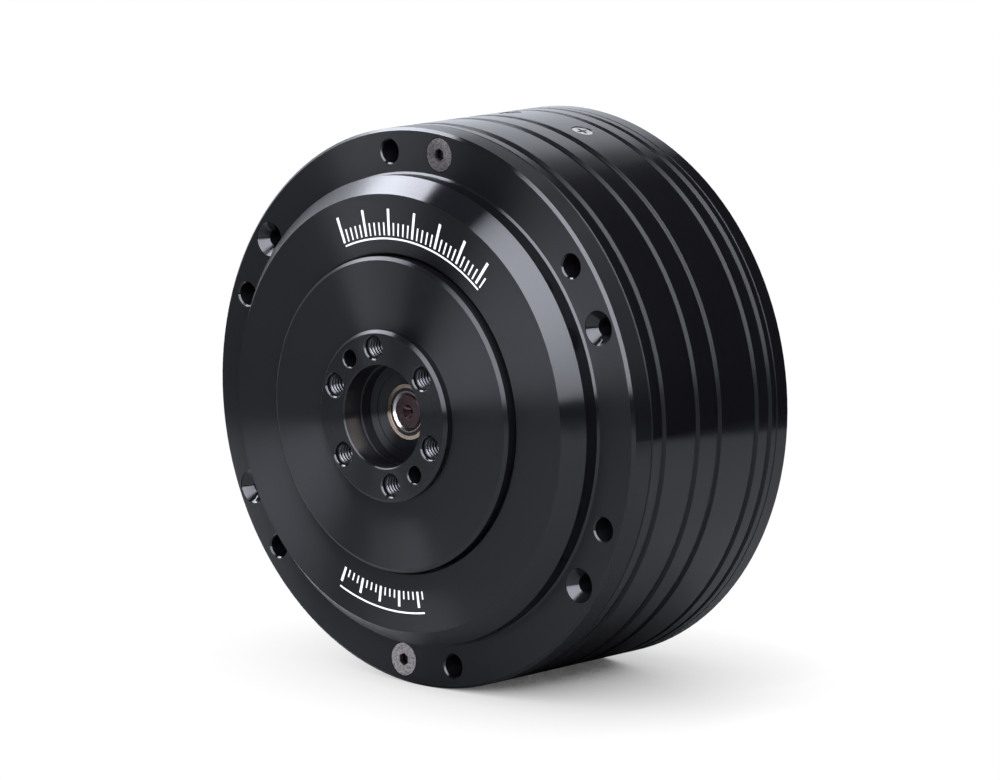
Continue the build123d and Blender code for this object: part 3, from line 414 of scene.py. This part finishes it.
def ink(name):
    """White printing ink with a slightly rough, uneven surface."""
    graph = Graph(name)
    thin, full = colour(0.78, 0.78, 0.78), colour(0.9, 0.9, 0.9)
    grain = graph.noise(6000, 3.0)
    tone = graph.mix(graph.noise(700, 3.0), thin, full)
    graph.set(Base_Color=tone, Roughness=graph.vary(grain, 0.4, 0.6),
              Normal=graph.bump(grain, 0.006 * MM, 0.5))
    return graph.material


def make_materials():
    """Every material by its slot's name. A metal's polish is its lowest and highest roughness."""
    recipes = {
        "black_anodised": (anodised, {}),
        "black_turned": (anodised, {}),
        "plain_aluminium": (steel, dict(base=(0.7, 0.7, 0.71), polish=(0.25, 0.36))),
        "blackened_steel": (steel, dict(base=(0.52, 0.48, 0.475), polish=(0.34, 0.5), marks=5000,
                                        stain=(0.24, 0.21, 0.21), stain_size=2200, painted_recess_shade=2.0 * MM)),
        "zinc_steel": (steel, dict(base=(0.66, 0.66, 0.67), polish=(0.22, 0.34), marks=4000,
                                   stain=(0.5, 0.49, 0.47), stain_size=1500)),
        "bearing_steel": (steel, dict(base=(0.5, 0.48, 0.46), polish=(0.24, 0.32), marks=6000)),
        "bearing_tinted": (steel, dict(base=(0.96, 0.76, 0.61), polish=(0.12, 0.2), marks=6000)),
        "bearing_dark": (steel, dict(base=(0.1, 0.085, 0.08), polish=(0.2, 0.3), marks=6000)),
        "shaft_steel": (steel, dict(base=(0.17, 0.12, 0.122), polish=(0.2, 0.3), marks=6000,
                                    stain=(0.12, 0.084, 0.086), stain_size=1400)),
        "gear_steel": (steel, dict(base=(0.42, 0.42, 0.43), polish=(0.22, 0.34), marks=3500,
                                   stain=(0.3, 0.29, 0.28))),
        "rotor_iron": (steel, dict(base=(0.07, 0.07, 0.075), polish=(0.35, 0.5), marks=2200, metallic=0.6)),
        "lamination_steel": (laminations, {}),
        "magnet_plate": (steel, dict(base=(0.63, 0.62, 0.6), polish=(0.16, 0.26))),
        "bronze": (steel, dict(base=(0.58, 0.38, 0.18), polish=(0.3, 0.44), marks=5000,
                               stain=(0.4, 0.26, 0.13))),
        "cage_plastic": (plastic, dict(base=(0.3, 0.2, 0.09))),
        "copper_wire": (wire, {}),
        "lead_sleeve": (plastic, dict(base=(0.4, 0.03, 0.03), rough=0.5)),
        "board": (board, {}),
        "chip_black": (plastic, dict(base=(0.025, 0.025, 0.027), rough=0.5, grain=3500)),
        "connector_yellow": (plastic, dict(base=(0.72, 0.46, 0.03), rough=0.38)),
        "connector_white": (plastic, dict(base=(0.72, 0.71, 0.66), rough=0.4)),
        "contact_gold": (steel, dict(base=(0.85, 0.62, 0.27), polish=(0.15, 0.25))),
        "white_ink": (ink, {}),
        "thread_black": (plastic, dict(base=(0.004, 0.004, 0.005), rough=0.3, grain=5000, depth=0.003 * MM)),
        "thread_edge": (steel, dict(base=(0.26, 0.26, 0.27), polish=(0.22, 0.3), marks=5000)),
    }
    return {slot: make(slot, **values) for slot, (make, values) in recipes.items()}


def dress_cad(materials):
    """Give every CAD node the material of its slot."""
    for part in frame["record"]["subparts"]:
        mesh = frame["nodes"][part["node"]].data
        mesh.materials.clear()
        mesh.materials.append(materials[part["material_slot"]])


# ---- pieces made here ----
def add_piece(name, vertices, faces, body, material, smooth=True):
    """A new mesh that rides on a CAD body."""
    mesh = bpy.data.meshes.new(name)
    mesh.from_pydata(vertices, [], faces)
    mesh.validate()
    mesh.polygons.foreach_set("use_smooth", [smooth] * len(mesh.polygons))
    mesh.materials.append(material)
    piece = bpy.data.objects.new(name, mesh)
    bpy.context.collection.objects.link(piece)
    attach(piece, body)
    return piece


# The six M4 output holes, and a thread's profile: its places along one pitch, with the radius at each.
OUTPUT_CIRCLE_R = 12 * MM
HOLE_COUNT = 6
HOLE_ANGLE = 99.5
THREAD_MAJOR = 1.985 * MM
THREAD_MINOR = 1.66 * MM
THREAD_PITCH = 0.7 * MM
THREAD_START = 0.35 * MM
THREAD_TURNS = 10
THREAD_RUN_IN = 0.25
THREAD_SIDES = 40
THREAD_EDGE = 0.05 * MM
THREAD_PROFILE = ((0.0, THREAD_MAJOR), (0.26, THREAD_MAJOR), (0.49, THREAD_MINOR + THREAD_EDGE),
                  (0.57, THREAD_MINOR), (0.73, THREAD_MINOR), (1.0, THREAD_MAJOR))
EDGE_STRIP = 2


def thread(x, z, front, vertices, faces, edges):
    """An internal thread from front, along +Y: one profile swept round and forward, deeper as it runs in."""
    start = len(vertices)
    points = len(THREAD_PROFILE)
    steps = THREAD_TURNS * THREAD_SIDES
    for step in range(steps + 1):
        angle = 2 * pi * step / THREAD_SIDES
        depth = min(1.0, step / (THREAD_RUN_IN * THREAD_SIDES))
        for along, profile_r in THREAD_PROFILE:
            r = THREAD_MAJOR + (profile_r - THREAD_MAJOR) * depth
            y = front + THREAD_PITCH * (step / THREAD_SIDES + along)
            vertices.append((x + r * cos(angle), y, z + r * sin(angle)))
    for step in range(steps):
        for strip in range(points - 1):
            a = start + step * points + strip
            faces.append((a, a + 1, a + 1 + points, a + points))
            edges.append(strip == EDGE_STRIP)


def hub_threads(materials):
    """The threads in the output holes, dark on their flanks and bright along the edge of each crest."""
    vertices, faces, edges = [], [], []
    for step in range(HOLE_COUNT):
        angle = radians(HOLE_ANGLE + 360 / HOLE_COUNT * step)
        x, z = OUTPUT_CIRCLE_R * cos(angle), OUTPUT_CIRCLE_R * sin(angle)
        thread(x, z, HUB_FACE_Y + THREAD_START, vertices, faces, edges)
    piece = add_piece("hub_threads", vertices, faces, "output", materials["thread_black"])
    piece.data.materials.append(materials["thread_edge"])
    piece.data.polygons.foreach_set("material_index", [int(edge) for edge in edges])


# Graduations: the first and last angle, the radii of a tick's foot, of its short and long end and of the line
# along the ticks, and how many ticks apart the long ones are.
UPPER_SCALE = dict(first=113.0, last=51.0, foot=31.0 * MM, short=33.2 * MM, long=35.6 * MM,
                   line=(30.3 * MM, 30.6 * MM), every=5)
LOWER_SCALE = dict(first=-113.0, last=-79.0, foot=31.0 * MM, short=32.4 * MM, long=33.8 * MM,
                   line=(34.6 * MM, 34.9 * MM), every=4)
TICK_STEP = 2.0
SHORT_TICK_WIDTH = 0.55
LONG_TICK_WIDTH = 0.9
INK_THICK = 0.012 * MM
ARC_STEP = 1.5


def arc_bar(inner, outer, first, last, vertices, faces):
    """A printed bar that follows the face's circle, between two radii and from first to last in degrees."""
    top = BOSS_FACE_Y - INK_THICK
    outline = ((inner, top), (outer, top), (outer, BOSS_FACE_Y), (inner, BOSS_FACE_Y))
    corners = len(outline)
    steps = max(1, ceil(abs(last - first) / ARC_STEP))
    start = len(vertices)
    for step in range(steps + 1):
        angle = radians(first + (last - first) * step / steps)
        for r, y in outline:
            vertices.append((r * cos(angle), y, r * sin(angle)))
    for step in range(steps):
        a = start + corners * step
        for side in range(corners):
            b = (side + 1) % corners
            faces.append((a + side, a + b, a + corners + b, a + corners + side))
    end = start + corners * steps
    faces.append((start, start + 3, start + 2, start + 1))
    faces.append((end, end + 1, end + 2, end + 3))


def graduations(first, last, foot, short, long, line, every, vertices, faces):
    """A row of ticks and the line along it."""
    count = round(abs(last - first) / TICK_STEP)
    for tick in range(count + 1):
        middle = first + (last - first) * tick / count
        tall = tick % every == 0
        half = (LONG_TICK_WIDTH if tall else SHORT_TICK_WIDTH) / 2
        arc_bar(foot, long if tall else short, middle - half, middle + half, vertices, faces)
    arc_bar(*line, first, last, vertices, faces)


def index_marks(materials):
    """Plain white graduations on the face, in place of any lettering."""
    vertices, faces = [], []
    graduations(**UPPER_SCALE, vertices=vertices, faces=faces)
    graduations(**LOWER_SCALE, vertices=vertices, faces=faces)
    add_piece("index_marks", vertices, faces, "housing", materials["white_ink"], smooth=False)


# ---- studio: lamps aimed at the motor, cards that stand on the floor, and the sky ----
WHITE = (1.0, 1.0, 1.0)
NOTHING = (0.0, 0.0, 0.0)
LAMP_COLOUR = (0.95, 0.985, 1.1)
LAMP_WATTS = 4  # an area light's watts for each square metre and unit of radiance
LEFT_SOFTBOX = dict(azimuth=-88, elevation=40, distance=0.9, width=0.56, height=0.66, radiance=10.0)
RIGHT_SOFTBOX = dict(azimuth=36, elevation=41, distance=1.25, width=1.0, height=1.85, radiance=6.6)
BLACK_CARD = dict(ends=((-0.06, 0.281), (0.48, 0.055)), top=0.26, level=(0.03, 0.03, 0.033))
WHITE_CARD = dict(ends=((-0.9, -0.2), (-0.2, 0.9)), top=0.6, level=(1.12, 1.17, 1.28))
SKY = (0.1, 0.104, 0.118)
HORIZON = (0.03, 0.031, 0.035)
HORIZON_HEIGHTS = (0.03, 0.14)


def flat_card(name, corners, material):
    """A stage piece with one face."""
    mesh = bpy.data.meshes.new(name)
    mesh.from_pydata(corners, [], [(0, 1, 2, 3)])
    mesh.materials.append(material)
    card = bpy.data.objects.new(name, mesh)
    bpy.context.collection.objects.link(card)
    return card


def only_reflected(card, lights_others=False):
    """Hide a card from everything but reflections, and diffuse light if it lights others."""
    card.visible_camera = False
    card.visible_diffuse = lights_others
    card.visible_transmission = False
    card.visible_shadow = False


def glow(name, level):
    """The graph of a surface that only gives light, of the colour level."""
    graph = Graph(name)
    graph.set(Base_Color=colour(*NOTHING), Roughness=1.0, Specular_IOR_Level=0.0)
    graph.set(Emission_Color=colour(*level), Emission_Strength=1.0)
    return graph


def upright_card(name, ends, top, level):
    """A card that stands on the floor between two ends and is seen only in reflections."""
    (x1, y1), (x2, y2) = ends
    corners = [(x1, y1, FLOOR_Z), (x2, y2, FLOOR_Z), (x2, y2, top), (x1, y1, top)]
    only_reflected(flat_card(name, corners, glow(name, level).material))


def softbox(name, azimuth, elevation, distance, width, height, radiance):
    """An area light that faces the motor."""
    data = bpy.data.lights.new(name, "AREA")
    data.shape = "RECTANGLE"
    data.size = width
    data.size_y = height
    data.energy = radiance * LAMP_WATTS * width * height
    data.color = LAMP_COLOUR
    light = bpy.data.objects.new(name, data)
    back = direction(azimuth, elevation)
    light.matrix_world = Matrix.Translation(back * distance) @ looking(back).to_4x4()
    light.visible_camera = False
    bpy.context.collection.objects.link(light)


# ---- floor: one sheet is seen, and another just below it is reflected ----
FLOOR_REACH = 4.0
FLOOR_CLOUD = 3
FLOOR_GRAIN = 900
FLOOR_GRAIN_DEPTH = 0.01 * MM
BOUNCE_DROP = 0.1 * MM

# The painted shadow on the seen sweep: SHADOW_LEAN points away from where it falls, and SHADOW_SPREAD is how
# open the sky is in its core and past its edge.
SHADOW_REACH = 0.03
SHADOW_LEAN = (-0.325, -0.186, 0.928)
SHADOW_SPREAD = (0.057, 0.962)
SHADOW_CURVE = 0.34
SHADOW_DEEPEST = 0.03
SHADOW_SAMPLES = 64

# The reflected sheet's shade near the object and far off, where it fades to painted shade to the rear and in
# front, the painted pool of light on the left, and the painted shade close under the object.
BOUNCE_SHADE = 0.3
BOUNCE_FAR_PAINTED_SHADE = 0.03
REAR_FADES = (0.42, 0.6)
FRONT_FADES = (0.14, 0.32)
FRONT_STARTS = (-0.02, -0.1)
LEFT_PAINTED_LIGHT = 1.0
LEFT_EDGE = (0.0, -0.01)
LEFT_STARTS = (-0.012, 0.002)
CONTACT_PAINTED_SHADE_REACH = 0.05
CONTACT_PAINTED_SHADE_SPREAD = (0.15, 0.7)
CONTACT_PAINTED_SHADE_SAMPLES = 4


def floor_sheet(name, material, drop):
    """A large square sheet, drop below what the motor stands on."""
    low = FLOOR_Z - drop
    corners = [(-FLOOR_REACH, -FLOOR_REACH, low), (FLOOR_REACH, -FLOOR_REACH, low),
               (FLOOR_REACH, FLOOR_REACH, low), (-FLOOR_REACH, FLOOR_REACH, low)]
    return flat_card(name, corners, material)


def seen_floor():
    """A bright glowing sweep that only the camera sees, with a painted shadow close under the object."""
    sweep = glow("floor", WHITE)
    lean = sweep.node("CombineXYZ", dict(zip("XYZ", SHADOW_LEAN)))[0]
    # Painted shadow: the glow dims where the object shuts in the sky, which leans towards the lamps.
    open_sky = sweep.open_sky(SHADOW_REACH, SHADOW_SAMPLES, Normal=lean)
    painted_light_and_shade = sweep.math("POWER", sweep.spread(open_sky, *SHADOW_SPREAD), SHADOW_CURVE)
    uneven = sweep.choose(sweep.noise(FLOOR_CLOUD), 1.0, 1.02)
    sweep.set(Emission_Strength=sweep.times(sweep.choose(painted_light_and_shade, SHADOW_DEEPEST, 1.0), uneven))
    sheet = floor_sheet("floor", sweep.material, 0.0)
    sheet.visible_glossy = False
    sheet.visible_diffuse = False
    sheet.visible_shadow = False


def reflected_floor():
    """A darker sheet that the object reflects and takes its light from, lit by the lamps, with painted light
    and shade in its colour.
    """
    bounce = Graph("floor_bounce")
    grain = bounce.noise(FLOOR_GRAIN, 4.0)
    x, y, _ = bounce.axes(bounce.position())
    away = bounce.length(bounce.position())
    # Painted light and shade in the colour: painted shade far off to the rear and in front, and a painted
    # pool of light on the left.
    rear = bounce.spread(away, *REAR_FADES, BOUNCE_SHADE, BOUNCE_FAR_PAINTED_SHADE)
    front = bounce.spread(away, *FRONT_FADES, BOUNCE_SHADE, BOUNCE_FAR_PAINTED_SHADE)
    in_front = bounce.times(bounce.below(y, 0.0), bounce.spread(x, *FRONT_STARTS))
    painted_light_on_left = bounce.times(bounce.spread(x, *LEFT_EDGE), bounce.spread(y, *LEFT_STARTS))
    # Painted contact shade: darker where the sky is shut in close under the object.
    clear = bounce.spread(bounce.open_sky(CONTACT_PAINTED_SHADE_REACH, CONTACT_PAINTED_SHADE_SAMPLES), *CONTACT_PAINTED_SHADE_SPREAD)
    painted_light_and_shade = bounce.choose(in_front, rear, front)
    painted_light_and_shade = bounce.choose(painted_light_on_left, painted_light_and_shade, LEFT_PAINTED_LIGHT)
    painted_light_and_shade = bounce.times(painted_light_and_shade, clear)
    painted_light_and_shade = bounce.times(painted_light_and_shade, bounce.choose(bounce.noise(FLOOR_CLOUD), 0.97, 1.0))
    bounce.set(Base_Color=bounce.mix(painted_light_and_shade, colour(*NOTHING), colour(*WHITE)),
               Roughness=bounce.vary(grain, 0.75, 0.9), Specular_IOR_Level=0.1,
               Normal=bounce.bump(grain, FLOOR_GRAIN_DEPTH, 0.3))
    only_reflected(floor_sheet("floor_bounce", bounce.material, BOUNCE_DROP), lights_others=True)


def make_world():
    """White to the camera. Reflections see a dim sky that is darker at the horizon."""
    world = bpy.data.worlds.new("studio")
    bpy.context.scene.world = world
    world.use_nodes = True
    sky = Graph.of_tree(world.node_tree)
    height = sky.math("ABSOLUTE", sky.axes(sky.node("TexCoord", {})["Generated"])[2])
    dim = sky.mix(sky.spread(height, *HORIZON_HEIGHTS), colour(*HORIZON), colour(*SKY))
    seen = sky.node("LightPath", {})["Is Camera Ray"]
    background = world.node_tree.nodes["Background"]
    sky.put(background.inputs["Color"], sky.mix(seen, dim, colour(*WHITE)))


def make_studio():
    seen_floor()
    reflected_floor()
    upright_card("black_card", **BLACK_CARD)
    upright_card("white_card", **WHITE_CARD)
    make_world()
    softbox("left_softbox", **LEFT_SOFTBOX)
    softbox("right_softbox", **RIGHT_SOFTBOX)
    bpy.context.scene.view_settings.view_transform = "Standard"


def main():
    make_camera()
    materials = make_materials()
    dress_cad(materials)
    hub_threads(materials)
    index_marks(materials)
    make_studio()


main()
